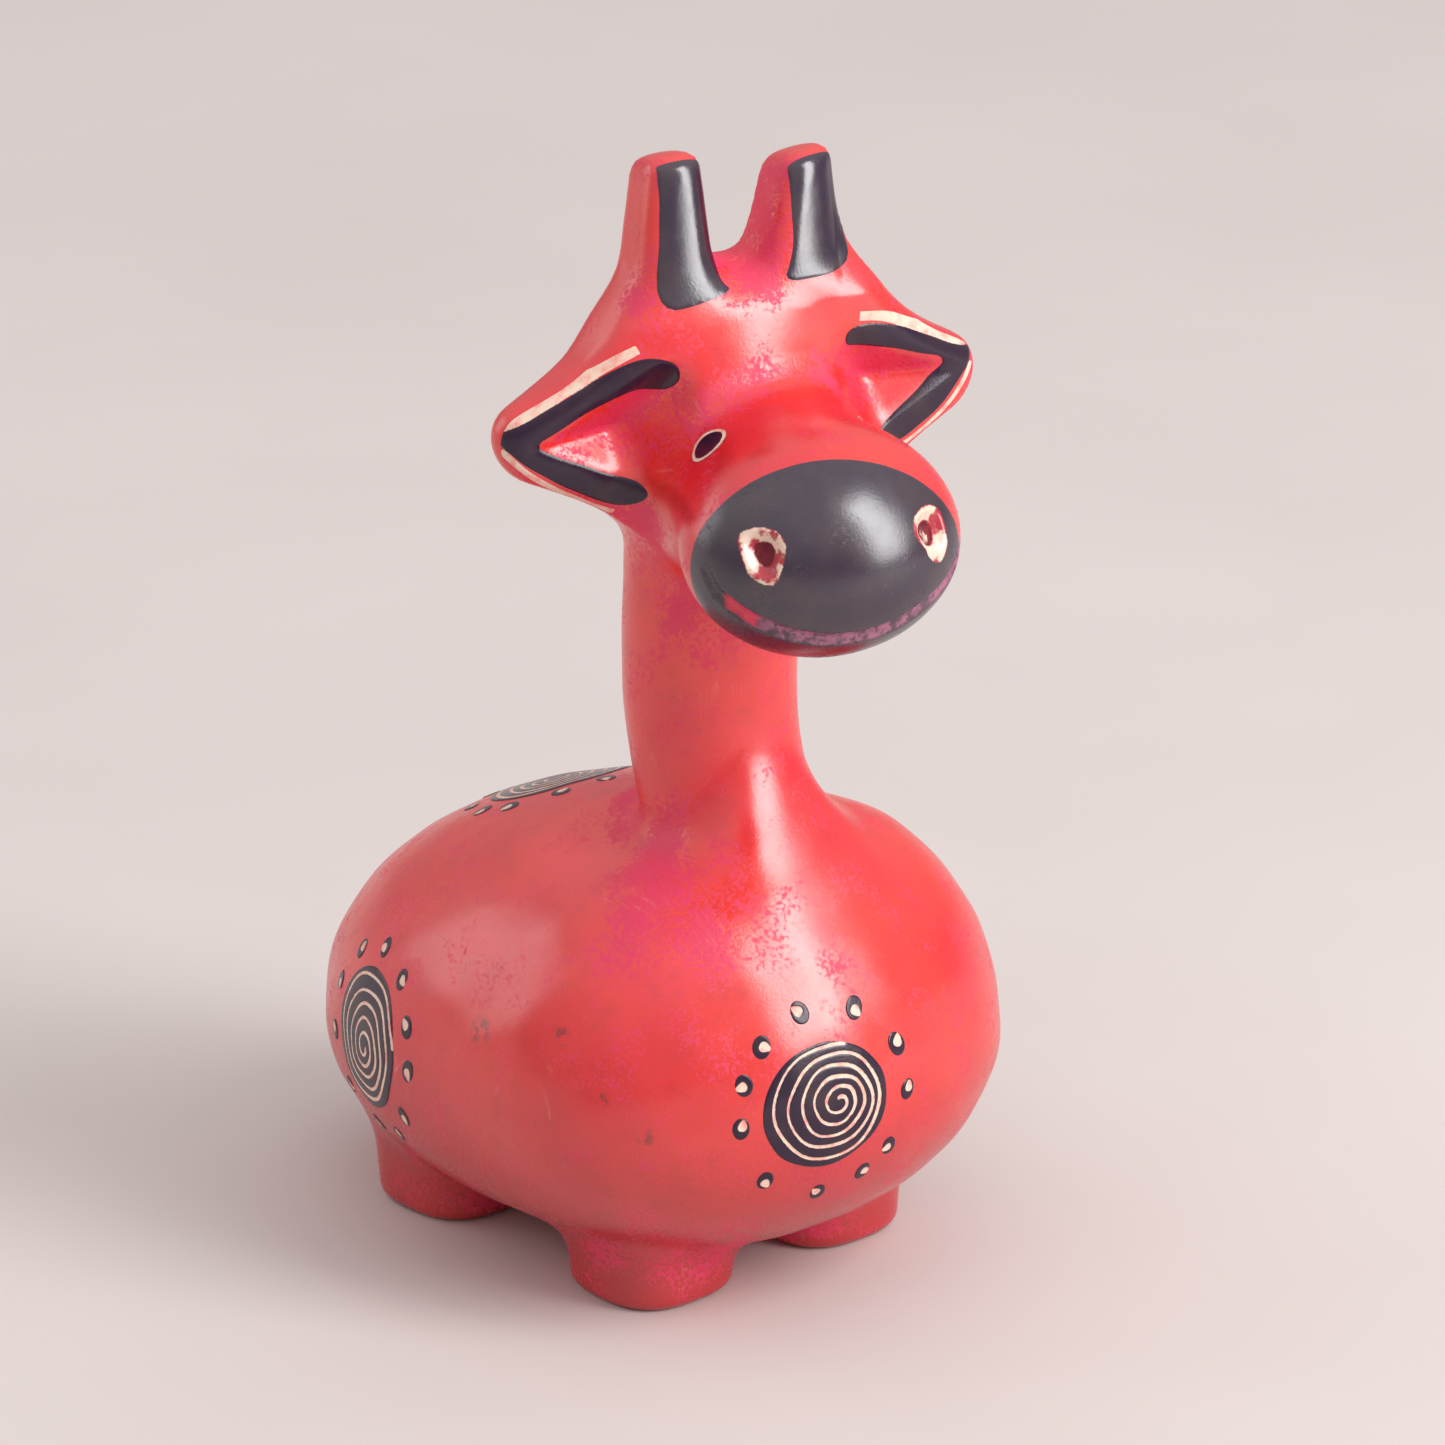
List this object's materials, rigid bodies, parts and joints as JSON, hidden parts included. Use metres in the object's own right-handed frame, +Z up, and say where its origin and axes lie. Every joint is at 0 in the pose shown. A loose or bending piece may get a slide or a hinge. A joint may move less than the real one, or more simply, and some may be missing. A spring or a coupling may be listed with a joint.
{
  "type": "carved giraffe statue",
  "caption": "Small carved and dyed soapstone giraffe with an egg-shaped body on stub feet, a turned head and dark painted spirals; a free-standing ornament.",
  "frame": {"origin": "on the ground, below the middle of the figure's outline", "axes": "+Z up, the figure's chest faces -Y and its own right side is -X"},
  "size_m": [0.051, 0.0709, 0.1011],
  "materials": {
    "red_stone": "dyed red and waxed to a soft polish",
    "black_paint": "dark purple-black stain on the stone, satin, scratched through to pale stone"
  },
  "bodies": {
    "root": {"body": "red_stone", "neck": "red_stone", "head": "red_stone", "right_horn": "red_stone", "left_horn": "red_stone", "right_ear": "red_stone", "left_ear": "red_stone", "front_right_foot": "red_stone", "front_left_foot": "red_stone", "rear_right_foot": "red_stone", "rear_left_foot": "red_stone", "muzzle": "black_paint", "right_horn_paint": "black_paint", "left_horn_paint": "black_paint", "right_ear_strokes": "black_paint", "left_ear_strokes": "black_paint", "right_eye": "black_paint", "left_eye": "black_paint", "chest_disc": "black_paint", "right_flank_disc": "black_paint", "left_flank_disc": "black_paint", "back_disc": "black_paint", "chest_dots": "black_paint", "right_flank_dots": "black_paint", "left_flank_dots": "black_paint", "back_dots": "black_paint"}
  },
  "joints": []
}
